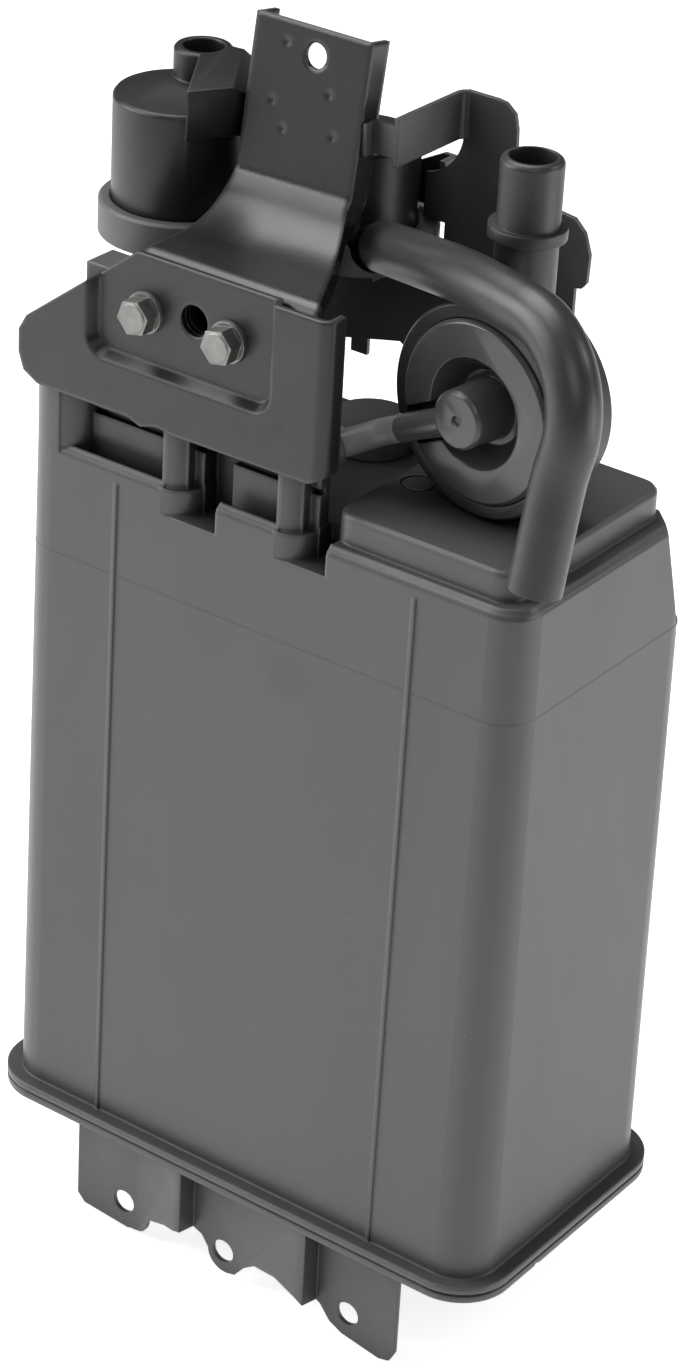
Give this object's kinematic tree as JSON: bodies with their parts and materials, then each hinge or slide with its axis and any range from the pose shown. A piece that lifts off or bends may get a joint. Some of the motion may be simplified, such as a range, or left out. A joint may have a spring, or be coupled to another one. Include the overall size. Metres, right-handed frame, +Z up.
{
  "type": "charcoal canister",
  "caption": "Tall drafted plastic box that holds fuel vapour in carbon beds, with a steel bracket, a vent valve, a two-way valve and moulded hoses on top.",
  "frame": {"origin": "middle of the bottom cover's underside", "axes": "+X along the width, to the right as seen from the bracket's side; +Z up along the body's height; the bracket's side faces -Y"},
  "size_m": [0.2143, 0.1187, 0.4136],
  "materials": {
    "body_plastic": "satin moulded black plastic",
    "black_steel": "black electrocoat",
    "zinc": "zinc plated",
    "brass_insert": "knurled brass",
    "case_plastic": "moulded black plastic",
    "grey_ring": "grey moulded rubber",
    "copper": "enamelled copper wire",
    "hose_rubber": "smooth black rubber",
    "valve_plastic": "satin black plastic",
    "carbon": "loose carbon grains",
    "foam": "open foam",
    "spring_steel": "bright wire"
  },
  "bodies": {
    "root": {"canister_body": "body_plastic", "bottom_cover": "body_plastic", "lower_bracket": "black_steel", "bracket_rivets": "zinc", "front_plate": "black_steel", "support_arm": "black_steel", "plate_bolts": "zinc", "bolt_inserts": "brass_insert", "vent_case": "case_plastic", "vent_ring": "grey_ring", "vent_coil": "copper", "vent_plunger": "spring_steel", "filter_can": "case_plastic", "filter_ring": "grey_ring", "filter_element": "foam", "carrier_bracket": "black_steel", "carrier_screws": "zinc", "valve_drum": "valve_plastic", "valve_cap": "valve_plastic", "valve_diaphragm": "hose_rubber", "diaphragm_plate": "spring_steel", "valve_spring": "spring_steel", "elbow_hose": "hose_rubber", "purge_hose": "hose_rubber", "round_cap": "case_plastic", "main_carbon": "carbon", "second_carbon": "carbon", "main_top_filter": "foam", "second_top_filter": "foam", "main_low_filter": "foam", "second_low_filter": "foam", "main_grid": "body_plastic", "second_grid": "body_plastic", "bed_springs": "spring_steel"}
  },
  "joints": []
}
